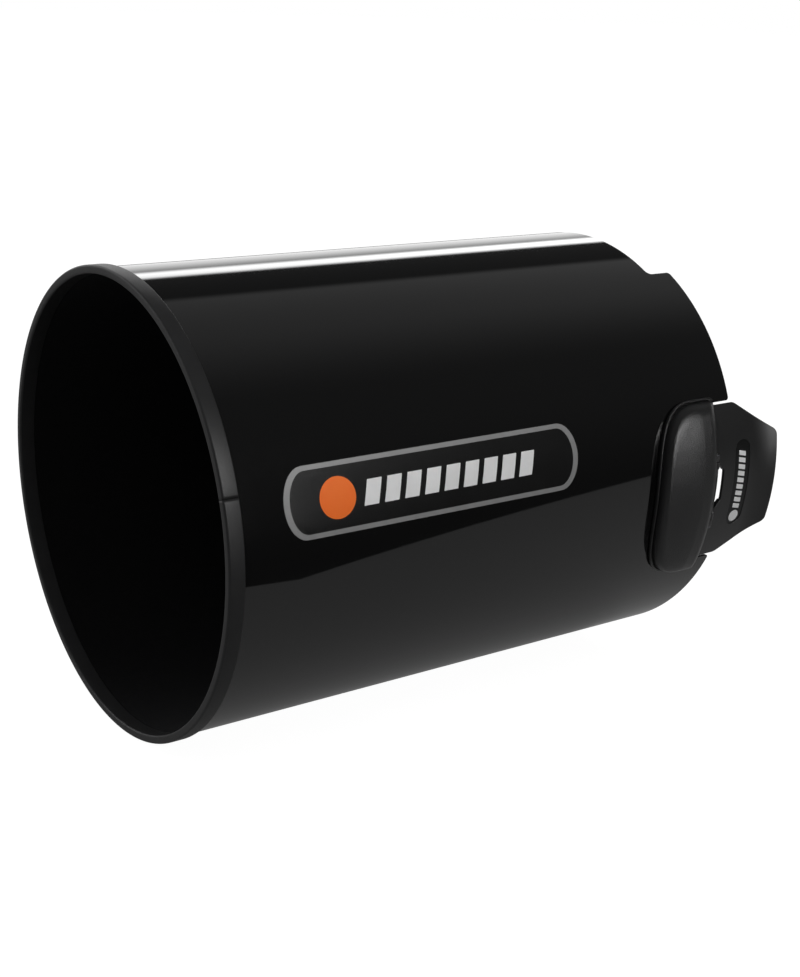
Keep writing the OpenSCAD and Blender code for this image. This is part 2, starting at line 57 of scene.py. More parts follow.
# ---- sizes, in millimetres and degrees, as in the CAD model ----------------------------------------
R, R_IN, BORE_R = 120.0, 118.4, 117.2
TUBE_LEN = 320.0
TRIM_BACK = -313.5
LATCH_HALF, NOTCH = 46.0, 16.0
SLOT_HALF, SLOT_DEPTH = 13.4, 28.3  # the shoe's slot, from the bottom of the latch's notch
PLATE_HALF, PLATE_DEPTH = 49.8, 57.4  # the lining's opening round the backing plate
BAR_GAP = 0.8  # the lining stays this far back from the bars' notches
BAR_HALF = R * math.sin(math.radians(27))
LABEL_AT, LABEL_Y, LABEL_LEN, LABEL_H = 74.3, -202.8, 176.5, 34.3
PIN_X, PIN_Y = 123.6, -19.6


# ---- materials -----------------------------------------------------------------------------------
def material(name):
    m = bpy.data.materials.new(name)
    m.use_nodes = True
    t = m.node_tree
    bsdf = t.nodes["Principled BSDF"]
    return m, t, bsdf


def add(t, kind, **values):
    n = t.nodes.new(kind)
    for k, v in values.items():
        if k in n.inputs:
            n.inputs[k].default_value = v
        else:
            setattr(n, k, v)
    return n


def coords(t):
    return add(t, "ShaderNodeTexCoord").outputs["Object"]


def noise(t, at, scale, detail=3.0, rough=0.6):
    n = add(t, "ShaderNodeTexNoise", Scale=scale, Detail=detail, Roughness=rough)
    t.links.new(at, n.inputs["Vector"])
    return n.outputs["Fac"]


def spread(t, value, low, high, from_low=0.3, from_high=0.7):
    n = add(t, "ShaderNodeMapRange")
    n.inputs["From Min"].default_value = from_low
    n.inputs["From Max"].default_value = from_high
    n.inputs["To Min"].default_value = low
    n.inputs["To Max"].default_value = high
    t.links.new(value, n.inputs["Value"])
    return n.outputs["Result"]


def bump(t, bsdf, height, strength, distance, after=None):
    n = add(t, "ShaderNodeBump", Strength=strength, Distance=distance)
    t.links.new(height, n.inputs["Height"])
    if after is not None:
        t.links.new(after, n.inputs["Normal"])
    t.links.new(n.outputs["Normal"], bsdf.inputs["Normal"])
    return n.outputs["Normal"]


def two_tone(t, bsdf, value, dark, light):
    n = add(t, "ShaderNodeMix", data_type="RGBA")
    n.inputs["A"].default_value = (*dark, 1)
    n.inputs["B"].default_value = (*light, 1)
    t.links.new(value, n.inputs["Factor"])
    t.links.new(n.outputs["Result"], bsdf.inputs["Base Color"])


def plain(name, colour, rough, metallic=0.0, spec=0.5):
    """Smooth material with a faint change of tone and a fine grain."""
    m, t, b = material(name)
    at = coords(t)
    grain = noise(t, at, 900.0)
    lighter = tuple(min(c * 1.12 + 0.002, 1) for c in colour)
    two_tone(t, b, spread(t, noise(t, at, 60.0, 4.0), 0, 1), colour, lighter)
    t.links.new(spread(t, grain, rough * 0.92, min(rough * 1.1 + 0.01, 1)), b.inputs["Roughness"])
    b.inputs["Metallic"].default_value = metallic
    b.inputs["IOR"].default_value = 1.5
    b.inputs["Specular IOR Level"].default_value = spec
    bump(t, b, grain, 0.5, 0.00004)
    return m


def tube_paint():
    """Gloss black coat: a clear mirror with a faint long ripple."""
    m, t, b = material("tube_paint")
    at = coords(t)
    b.inputs["Base Color"].default_value = (0.0022, 0.0022, 0.0023, 1)
    b.inputs["IOR"].default_value = 1.5
    t.links.new(spread(t, noise(t, at, 220.0, 4.0), 0.035, 0.06), b.inputs["Roughness"])
    ripple = noise(t, at, 45.0, 2.0)
    bump(t, b, ripple, 0.12, 0.00006)
    return m


def felt():
    """Velvet lining: short fibres, almost no light back."""
    m, t, b = material("felt")
    at = coords(t)
    fibre = noise(t, at, 2600.0, 5.0, 0.75)
    patches = spread(t, noise(t, at, 700.0, 4.0), 0, 1)
    two_tone(t, b, patches, (0.0007, 0.0007, 0.0007), (0.0022, 0.0022, 0.0023))
    b.inputs["Roughness"].default_value = 0.98
    b.inputs["Specular IOR Level"].default_value = 0.05
    b.inputs["Sheen Weight"].default_value = 0.05
    b.inputs["Sheen Roughness"].default_value = 0.6
    b.inputs["Sheen Tint"].default_value = (0.3, 0.3, 0.32, 1)
    bump(t, b, fibre, 0.8, 0.0005)
    return m


def grained(name, colour, rough, grain_scale, depth, spec):
    """Moulded plastic or rubber with a fine spark grain."""
    m, t, b = material(name)
    at = coords(t)
    v = add(t, "ShaderNodeTexVoronoi", Scale=grain_scale)
    t.links.new(at, v.inputs["Vector"])
    two_tone(t, b, spread(t, noise(t, at, 90.0, 4.0), 0, 1), colour, tuple(c * 1.25 for c in colour))
    t.links.new(spread(t, noise(t, at, 1400.0, 4.0), rough * 0.88, rough * 1.12), b.inputs["Roughness"])
    b.inputs["Specular IOR Level"].default_value = spec
    fine = noise(t, at, 2400.0, 4.0, 0.7)
    first = bump(t, b, fine, 0.5, depth)
    bump(t, b, v.outputs["Distance"], 0.35, depth, first)
    return m


MATS = {
    "tube_paint": tube_paint(),
    "felt": felt(),
    "trim_rubber": grained("trim_rubber", (0.0085, 0.0085, 0.0088), 0.45, 1500.0, 0.00003, 0.2),
    "label_grey": plain("label_grey", (0.22, 0.22, 0.22), 0.4, spec=0.3),
    "label_black": plain("label_black", (0.0035, 0.0035, 0.0035), 0.16),
    "label_orange": plain("label_orange", (0.98, 0.17, 0.015), 0.45, spec=0.12),
    "label_white": plain("label_white", (0.8, 0.8, 0.8), 0.35, spec=0.2),
    "gasket_rubber": plain("gasket_rubber", (0.006, 0.006, 0.006), 0.6),
    "base_plastic": plain("base_plastic", (0.012, 0.012, 0.012), 0.45),
    "cover_plastic": grained("cover_plastic", (0.0025, 0.0025, 0.0027), 0.32, 1500.0, 0.00025, 0.42),
    "plate_steel": plain("plate_steel", (0.12, 0.12, 0.125), 0.45, metallic=0.9),
    "screw_steel": plain("screw_steel", (0.55, 0.55, 0.56), 0.3, metallic=1.0),
    "insert_brass": plain("insert_brass", (0.72, 0.52, 0.22), 0.32, metallic=1.0),
    "pin_steel": plain("pin_steel", (0.62, 0.62, 0.64), 0.22, metallic=1.0),
    "clip_steel": plain("clip_steel", (0.12, 0.12, 0.13), 0.35, metallic=1.0),
    "stud_steel": plain("stud_steel", (0.6, 0.6, 0.62), 0.25, metallic=1.0),
    "spring_steel": plain("spring_steel", (0.6, 0.6, 0.62), 0.28, metallic=1.0),
    "lever_plastic": grained("lever_plastic", (0.0055, 0.0055, 0.0057), 0.34, 2000.0, 0.00002, 0.42),
    "bush_plastic": plain("bush_plastic", (0.75, 0.75, 0.7), 0.5),
    "inlay_black": plain("inlay_black", (0.0015, 0.0015, 0.0015), 0.3, spec=0.25),
    "mark_white": plain("mark_white", (0.9, 0.9, 0.9), 0.45),
    "shoe_metal": plain("shoe_metal", (0.3, 0.3, 0.31), 0.35, metallic=0.9),
    "pad_rubber": plain("pad_rubber", (0.02, 0.02, 0.02), 0.7),
}
slot_of = {s["node"]: s["material_slot"] for s in frame["record"]["subparts"]}
for name, node in nodes.items():
    node.data.materials.clear()
    node.data.materials.append(MATS[slot_of[name]])


# ---- mesh helpers --------------------------------------------------------------------------------
def attach(name, mesh, replaced, body):
    """An object for the mesh, in place of a CAD node, with its material and riding on a CAD body."""
    mesh.materials.append(MATS[slot_of[replaced]])
    obj = bpy.data.objects.new(name, mesh)
    scene.collection.objects.link(obj)
    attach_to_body(obj, body)
    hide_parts(replaced)
    return obj


def piece(name, verts, faces, replaced, body="shield", normals=None):
    """A mesh from points in millimetres; normals, where given, one for each point."""
    mesh = bpy.data.meshes.new(name)
    mesh.from_pydata([Vector(v) * MM for v in verts], [], faces)
    mesh.validate(clean_customdata=False)
    mesh.update()
    mesh.polygons.foreach_set("use_smooth", [True] * len(mesh.polygons))
    if normals is not None:
        mesh.normals_split_custom_set_from_vertices([Vector(n).normalized() for n in normals])
    return attach(name, mesh, replaced, body)


class Build:
    """Points, faces and normals that grow piece by piece."""

    def __init__(self):
        self.verts, self.normals, self.faces = [], [], []

    def points(self, verts, normals):
        first = len(self.verts)
        self.verts += [tuple(v) for v in verts]
        self.normals += [tuple(n) for n in normals]
        return first

    def strip(self, a, b, n, closed=True, flip=False):
        """Quads between two rows of n points."""
        for i in range(n if closed else n - 1):
            j = (i + 1) % n
            f = (a + i, a + j, b + j, b + i)
            self.faces.append(f[::-1] if flip else f)


def unit(v):
    return v / np.linalg.norm(v, axis=-1, keepdims=True)


def corner(a, b, c, r, steps=8):
    """Arc of radius r that rounds the corner at b between the lines to a and c."""
    a, b, c = (np.array(p, float) for p in (a, b, c))
    u, w = unit(a - b), unit(c - b)
    half = math.acos(float(np.clip(u @ w, -1, 1))) / 2
    middle = b + unit(u + w) * r / math.sin(half)
    p, q = b + u * r / math.tan(half) - middle, b + w * r / math.tan(half) - middle
    p0 = math.atan2(p[1], p[0])
    turn = (math.atan2(q[1], q[0]) - p0 + math.pi) % (2 * math.pi) - math.pi
    return [middle + r * np.array([math.cos(p0 + turn * i / steps), math.sin(p0 + turn * i / steps)])
            for i in range(steps + 1)]


def rounded(points, radii, steps=8):
    """The outline with every corner rounded by its own radius."""
    after = points[1:] + points[:1]
    return [p for i, r in enumerate(radii) for p in corner(points[i - 1], points[i], after[i], r, steps)]


def stadium(length, height, bulge, centre=(0, 0), along=0, steps=24):
    """Long shape whose ends are half ellipses that reach out by bulge."""
    reach, r = length / 2 - bulge, height / 2
    out = []
    for side, turn in ((1, -90), (-1, 90)):
        for i in range(steps + 1):
            t = math.radians(turn + 180 * i / steps)
            out.append(np.array([side * reach + bulge * math.cos(t), r * math.sin(t)]))
    if along:
        out = [np.array([-p[1], p[0]]) for p in out]
    return [p + np.array(centre) for p in out]


def dense(loop, step, closed=True):
    """The same outline with points no further apart than step."""
    out, n = [], len(loop)
    for i in range(n if closed else n - 1):
        a, b = np.array(loop[i], float), np.array(loop[(i + 1) % n], float)
        d = np.linalg.norm(b - a)
        if d < 1e-6:
            continue
        k = max(1, int(math.ceil(d / step)))
        out += [a + (b - a) * j / k for j in range(k)]
    if not closed:
        out.append(np.array(loop[-1], float))
    return np.array(out)


def outward(loop, closed=True):
    """Unit normals of an outline: to its right, which is outwards when it runs anticlockwise."""
    p = np.array(loop)
    if closed:
        t = unit(np.roll(p, -1, 0) - p)
        before = np.roll(t, 1, 0)
    else:
        t = unit(np.diff(p, axis=0))
        t = np.vstack([t, t[-1:]])
        before = np.vstack([t[:1], t[:-1]])
    m = unit(t + before)
    return np.c_[m[:, 1], -m[:, 0]]


def area(loop):
    x, y = np.array(loop).T
    return 0.5 * float(np.sum(x * np.roll(y, -1) - y * np.roll(x, -1)))


def fill(loops, inside_points, squeeze=1.0):
    """Triangles of the region between an anticlockwise outline and its clockwise holes, as points and faces.
    The triangles are laid out with the second coordinate scaled by squeeze."""
    pts, edges = [], []
    for loop in loops:
        first = len(pts)
        pts += [Vector((p[0], p[1] * squeeze)) for p in loop]
        edges += [(first + i, first + (i + 1) % len(loop)) for i in range(len(loop))]
    pts += [Vector((p[0], p[1] * squeeze)) for p in inside_points]
    v, _, f, _, _, _ = delaunay_2d_cdt(pts, edges, [], 1, 1e-6)
    v = np.array([(p.x, p.y / squeeze) for p in v])
    keep = []
    for tri in f:
        c = v[list(tri)].mean(0)
        if inside(c, loops):
            keep.append(tri if area(v[list(tri)]) > 0 else tri[::-1])
    return v, keep


def inside(c, loops):
    """Whether a point is inside the outlines, by the number of edges that it crosses."""
    crossings = 0
    for loop in loops:
        p = np.asarray(loop)
        q = np.roll(p, -1, 0)
        hit = (p[:, 1] > c[1]) != (q[:, 1] > c[1])
        if hit.any():
            pa, qa = p[hit], q[hit]
            x = pa[:, 0] + (c[1] - pa[:, 1]) / (qa[:, 1] - pa[:, 1]) * (qa[:, 0] - pa[:, 0])
            crossings += int((x > c[0]).sum())
    return crossings % 2 == 1


class Plate:
    """A plate on the tube's curve. Its flat outline is in (along the axis, across), across being a
    straight distance from the plate's own centre plane. radius(y) is the distance of its outer face
    from the axis, and slope(y) is how fast that grows."""

    def __init__(self, at=90.0, radius=lambda y: R, slope=lambda y: 0.0):
        self.turn = math.radians(at - 90)
        self.radius, self.slope, self.b = radius, slope, Build()

    def place(self, p, depth=0.0):
        y, z = np.asarray(p, float).T
        k = np.array([self.slope(v) for v in y])
        r = np.array([self.radius(v) for v in y])
        x = np.sqrt(r * r - z * z)
        n = unit(np.c_[x / r, -k, z / r])
        out = np.c_[x, y, z] - n * depth
        return self.spin(out), self.spin(n)

    def spin(self, v):
        c, s = math.cos(self.turn), math.sin(self.turn)
        # a positive turn goes from the latch down, as the CAD model's angles do
        return np.c_[v[:, 0] * c + v[:, 2] * s, v[:, 1], -v[:, 0] * s + v[:, 2] * c]

    def face(self, loops, depth=0.0, grid=(3.0, 1.5), down=False):
        all_points = np.vstack(loops)
        lo, hi = all_points.min(0), all_points.max(0)
        grid_points = [(y, z) for y in np.arange(lo[0] + grid[0] / 2, hi[0], grid[0])
                       for z in np.arange(lo[1] + grid[1] / 2, hi[1], grid[1])]
        clear = min(grid) * 0.35
        keep = [g for g in grid_points if inside(g, loops)
                and np.min(np.abs(all_points - g).max(1)) > clear]
        v, f = fill(loops, keep)
        pos, nor = self.place(v, depth)
        first = self.b.points(pos, -nor if down else nor)
        # (y, z) seen from outside is anticlockwise when its faces look along +X
        self.b.faces += [tuple(first + i for i in (t[::-1] if down else t)) for t in f]

    def rim(self, loop, profile):
        """Side of the plate along an outline. profile rows are (inset, depth, lean): lean is how far the
        normal leans from the face's own towards the outline's, in degrees."""
        side = outward(loop)
        rows = []
        for inset, depth, lean in profile:
            p = np.array(loop) - side * inset
            pos, nor = self.place(p, depth)
            flat = self.spin(np.c_[np.zeros(len(p)), side])
            a = math.radians(lean)
            rows.append(self.b.points(pos, unit(nor * math.cos(a) + flat * math.sin(a))))
        for a, b in zip(rows, rows[1:]):
            self.b.strip(b, a, len(loop))


def round_profile(r, depth, foot=0.0, steps=5):
    """Profile of a side with a rounded upper edge, and a rounded foot where foot is more than nothing."""
    out = [(r * (1 - math.sin(t)), r * (1 - math.cos(t)), math.degrees(t))
           for t in np.linspace(0, math.pi / 2, steps)]
    if foot:
        out += [(foot * (1 - math.cos(t)), depth - foot * (1 - math.sin(t)), 90 + math.degrees(t))
                for t in np.linspace(0, math.pi / 2, steps)]
    else:
        out.append((0, depth, 90))
    return out


def shifted(loop, inset):
    return np.array(loop) - outward(loop) * inset


# ---- tube and lining -----------------------------------------------------------------------------
def slot_path(half, depth, width, deep, mouth, bottom=1.5):
    """Bottom of a notch with a deeper slot of half width `width` in its middle. mouth
    and bottom are the radii of the slot's corners."""
    turns = [
        ((-depth, -half), (-depth, -width), (-deep, -width), mouth),
        ((-depth, -width), (-deep, -width), (-deep, width), bottom),
        ((-deep, -width), (-deep, width), (-depth, width), bottom),
        ((-deep, width), (-depth, width), (-depth, half), mouth),
    ]
    return [tuple(p[::-1]) for a, b, c, r in turns for p in corner(a, b, c, r, 5)]


def notch_path(at, half, depth, fillet, shoulder, r, slot=None):
    """One notch's edge as (degrees, y), from its lower angle to its higher one, on a face of radius r."""
    bend = [math.radians(90 * i / 8) for i in range(9)]
    out = [(-(half + shoulder * (1 - math.sin(t))), shoulder * (math.cos(t) - 1)) for t in bend]
    out += [tuple(p[::-1]) for p in corner((0, -half), (-depth, -half), (-depth, half), fillet, 8)]
    if slot:
        steps = np.linspace(-half + fillet, -slot[0] - 1, 30)[1:-1]
        out += [(s, -depth) for s in steps]
        out += slot_path(half, depth, *slot)
        out += [(-s, -depth) for s in steps[::-1]]
    else:
        out += [(s, -depth) for s in np.linspace(-half + fillet, half - fillet, 90)[1:-1]]
    out += [tuple(p[::-1]) for p in corner((-depth, -half), (-depth, half), (0, half), fillet, 8)]
    out += [(half + shoulder * (1 - math.sin(t)), shoulder * (math.cos(t) - 1)) for t in bend[::-1]]
    return [(at + math.degrees(math.asin(s / r)), y) for s, y in out]


SEAM = -135.0  # where the flat layout of a sleeve is cut open


def rear_path(notches, r, grow):
    """The rear edge all round as (degrees, y), moved into the wall by grow."""
    path = []
    for at, half, depth, fillet, shoulder, *slot in notches:
        if slot:
            slot = (slot[0] + grow, slot[1], max(0.5 - grow, 0.05))
        part = notch_path(at, half + grow, depth, fillet + grow, max(shoulder - grow, 0.05), r, slot)
        begin = path[-1][0] if path else SEAM
        path += [(a, 0.0) for a in np.linspace(begin, part[0][0], 60)[(1 if path else 0):-1]]
        path += part
    path += [(a, 0.0) for a in np.linspace(path[-1][0], SEAM + 360, 60)[1:]]
    return [(a, y - grow) for a, y in path]


def sleeve(r_out, r_in, front, notches, edge):
    """A thin sleeve round the axis, with notches in its rear edge and its rim rounded by edge."""
    b = Build()
    for r in (r_out, r_in):
        path = rear_path(notches, r, edge)
        rows = [-26, -60, -110, -160, -210, -260, front]
        right = [(SEAM + 360, y) for y in rows]
        left = [(SEAM, y) for y in reversed(rows)]
        bottom = [(a, front) for a in np.linspace(SEAM + 360, SEAM, 721)[1:-1]]
        outline = np.array([(math.radians(a) * R, y) for a, y in path + right + bottom + left])
        pts = [(math.radians(a) * R, y) for a in np.arange(SEAM + 0.5, SEAM + 360, 0.5) for y in rows[:-1]]
        pts += [(math.radians(a) * R, y) for a in np.arange(SEAM + 0.5, SEAM + 360, 1) for y in (-19, -22)]
        pts = [p for p in pts if inside(p, [outline]) and np.abs(outline - p).max(1).min() > 0.5]
        v, f = fill([outline], pts, 0.12)
        ang = v[:, 0] / R
        pos = np.c_[r * np.sin(ang), v[:, 1], r * np.cos(ang)]
        nor = np.c_[np.sin(ang), 0 * ang, np.cos(ang)]
        out = r == r_out
        first = b.points(pos, nor if out else -nor)
        b.faces += [tuple(first + i for i in (t if out else t[::-1])) for t in f]
    # rim: the same path drawn at each step of the rounding
    steps = 4
    plan = [(edge * (1 - math.sin(t)), r_out - edge * (1 - math.cos(t)), math.degrees(t))
            for t in np.linspace(0, math.pi / 2, steps)]
    plan += [(edge * (1 - math.cos(t)), r_in + edge * (1 - math.sin(t)), 90 + math.degrees(t))
             for t in np.linspace(0, math.pi / 2, steps)]
    rows = []
    for grow, r, lean in plan:
        path = np.array(rear_path(notches, r, grow))
        ang = np.radians(path[:, 0])
        flat = np.c_[ang * r, path[:, 1]]
        side = -outward(flat, closed=False)
        pos = np.c_[r * np.sin(ang), path[:, 1], r * np.cos(ang)]
        up = np.c_[np.sin(ang), 0 * ang, np.cos(ang)]
        tangent = np.c_[np.cos(ang), 0 * ang, -np.sin(ang)]
        across = tangent * side[:, :1] + np.array([0, 1, 0]) * side[:, 1:]
        lean = math.radians(lean)
        rows.append(b.points(pos, unit(up * math.cos(lean) + across * math.sin(lean))))
    n = len(path)
    for a, c in zip(rows, rows[1:]):
        b.strip(a, c, n, closed=False)
    return b


# angle, half width, depth, fillet, shoulder and, for the latch, its slot's half width and depth
TUBE_NOTCHES = [
    (0, BAR_HALF, NOTCH, 3, 2),
    (90, LATCH_HALF, NOTCH, 3, 2, SLOT_HALF, SLOT_DEPTH),
    (180, BAR_HALF, NOTCH, 3, 2),
]
b = sleeve(R, R_IN, -TUBE_LEN, TUBE_NOTCHES, 0.3)
piece("tube_shell", b.verts, b.faces, "shield_tube", normals=b.normals)

FELT_NOTCHES = [
    (0, BAR_HALF + BAR_GAP, NOTCH + BAR_GAP, 3, 1.2),
    (90, PLATE_HALF, PLATE_DEPTH, 0.5, 0.5),
    (180, BAR_HALF + BAR_GAP, NOTCH + BAR_GAP, 3, 1.2),
]
b = sleeve(R_IN - 0.02, BORE_R, TRIM_BACK, FELT_NOTCHES, 0.15)
lining = piece("felt_lining", b.verts, b.faces, "felt_liner", normals=b.normals)

# ---- front trim: a rubber channel pushed over the tube's front edge --------------------------------
def front_trim():
    b = Build()
    front, outer = -322.0, R + 1.6
    corners = [(BORE_R, TRIM_BACK), (BORE_R, front), (outer, front), (outer, TRIM_BACK), (R, TRIM_BACK),
               (R, -TUBE_LEN), (R_IN, -TUBE_LEN), (R_IN, TRIM_BACK)]
    points = rounded(corners, [0.3, 1.1, 1.1, 0.7, 0.2, 0.05, 0.05, 0.2], 7)
    apart = [True] + [np.linalg.norm(p - q) > 1e-5 for p, q in zip(points[1:], points)]
    profile = np.array(points)[apart]
    seam, gap, turns = 70.5, 0.12, 540
    n = len(profile)
    rows = []
    for i in range(turns + 1):
        a = math.radians(seam + gap / 2 + (360 - gap) * i / turns)
        pull = 0.22 * math.exp(-min(i, turns - i) / 1.2)  # the two ends are slightly drawn in
        pts = [((q[0] - pull * (q[0] > R)) * math.sin(a), q[1], (q[0] - pull * (q[0] > R)) * math.cos(a))
               for q in profile]
        rows.append(b.points(pts, [(0, 0, 1)] * n))
    for a, c in zip(rows, rows[1:]):
        b.strip(c, a, n)
    b.faces.append(tuple(rows[0] + i for i in range(n)))
    b.faces.append(tuple(rows[-1] + i for i in reversed(range(n))))
    piece("edge_trim", b.verts, b.faces, "front_trim")


front_trim()

# ---- label ---------------------------------------------------------------------------------------
def lay(loop):
    """The outline, turned to run anticlockwise."""
    loop = [np.array(p, float) for p in loop]
    return loop if area(loop) > 0 else loop[::-1]


def label_piece(name, replaced, outlines, top, foot, holes=(), edge=0.06):
    plate = Plate(LABEL_AT, lambda y: top)
    for outline in outlines:
        outline = dense(lay(outline), 2.0)
        cut = [dense(lay(h), 2.0)[::-1] for h in holes]
        plate.face([shifted(outline, edge)] + [shifted(h, edge) for h in cut], grid=(6.0, 1.5))
        for loop in [outline] + cut:
            plate.rim(loop, round_profile(edge, top - foot, steps=3))
    return piece(name, plate.b.verts, plate.b.faces, replaced, normals=plate.b.normals)


outer = stadium(LABEL_LEN, LABEL_H, 12, (LABEL_Y, 0), steps=36)
inner = stadium(LABEL_LEN - 6.4, LABEL_H - 4.8, 9.6, (LABEL_Y, 0), steps=36)
label_piece("label_border", "label_frame", [outer], R + 0.3, R, holes=[inner])
label_piece("label_field", "label_panel", [inner], R + 0.3, R)


def dot(centre, r, steps=64):
    turns = [2 * math.pi * i / steps for i in range(steps)]
    return [np.array(centre) + r * np.array([math.cos(t), math.sin(t)]) for t in turns]


def bars(start, step, length, height, slant):
    """Nine slanted bars, the generic pattern on the label and the lever."""
    out = []
    for i in range(9):
        a = start + i * step
        box = [(a - slant, -height / 2), (a + length - slant, -height / 2),
               (a + length + slant, height / 2), (a + slant, height / 2)]
        out.append(rounded(box, [0.25] * 4, 3))
    return out


label_piece("label_mark", "label_dot", [dot((LABEL_Y - 59.2, 0), 10)], R + 0.45, R + 0.3, edge=0.04)
label_bars = bars(LABEL_Y - 43.6, 11.7, 8.3, 12.2, 1.5)
label_piece("label_pattern", "label_bars", label_bars, R + 0.45, R + 0.3, edge=0.04)


# ---- latch cover ---------------------------------------------------------------------------------
HALF_W, FRONT, REAR, CENTRE = 50.6, -58.7, -11.5, -30.0
FRONT_N, REAR_N, CROWN, WALL, FLANGE, SCALE = 2.6, 10, 11.5, 1.8, 2.2, 0.955
MOUTH_Y, LIP_Y = PIN_Y - 2.9, -15.8
RIDGE_Y, TOP_FALL = -33, 0.17  # in front of the ridge the top face falls towards the front


def reach(y, s, inset):
    """How far out a point is in the cover's outline: 0 in the middle, 1 on the outline, drawn in by inset."""
    front = y < CENTRE
    n = np.where(front, FRONT_N, REAR_N)
    length = np.where(front, CENTRE - FRONT, REAR - CENTRE) - inset
    return ((np.abs(s) / (HALF_W - inset)) ** n + (np.abs(y - CENTRE) / length) ** n) ** (1 / n)


def soft_min(a, b, k):
    """The smaller of two heights, blended where they differ by less than k."""
    h = np.maximum(k - np.abs(a - b), 0) / k
    return np.minimum(a, b) - h * h * k / 4


def cover_top(y, s):
    e = reach(y, s, 0) / SCALE
    rise = np.sqrt(np.maximum(1 - np.minimum(e, 1) ** 8, 0))
    wall = FLANGE + np.where(e >= 1, 0, (CROWN - FLANGE) * rise)
    crown = CROWN - np.maximum(RIDGE_Y - y, 0) * TOP_FALL - (s / HALF_W) ** 4 * 2.2
    slope = (REAR - 0.8 - y) / 1.12
    h = np.maximum(FLANGE - 0.6, soft_min(soft_min(wall, crown, 1.8), np.maximum(slope, FLANGE - 0.6), 2.5))
    # a fine groove at the wall's foot
    return h - 0.7 * np.exp(-((e - 1.009) / 0.008) ** 2) * (y < -18)


def cover_under(y, s):
    e = reach(y, s, WALL + 0.7) / SCALE
    rise = np.sqrt(np.maximum(1 - np.minimum(e, 1) ** 8, 0))
    h = np.minimum(cover_top(y, s) - WALL, (CROWN - WALL) * rise)
    return np.where(e >= 1, 0.6, np.maximum(0.6, h))


def smooth(x, a, b):
    k = np.clip((x - a) / (b - a), 0, 1)
    return k * k * (3 - 2 * k)


def rear_edge(s):
    outline = CENTRE + (REAR - CENTRE) * np.maximum(1 - (np.abs(s) / HALF_W) ** REAR_N, 0) ** (1 / REAR_N)
    lip = MOUTH_Y + (LIP_Y - MOUTH_Y) * smooth(np.abs(s), 21.5, 25.5)
    return np.minimum(outline, lip + (REAR - LIP_Y) * smooth(np.abs(s), 48.1, 48.6))


def front_edge(s, k=1.0):
    across = np.maximum(1 - (np.abs(s) / (HALF_W * k)) ** FRONT_N, 0) ** (1 / FRONT_N)
    return CENTRE - (CENTRE - FRONT) * k * across


def on_tube(y, s, h):
    a = s / R
    return np.stack([(R + h) * np.cos(a), y, (R + h) * np.sin(a)], -1)


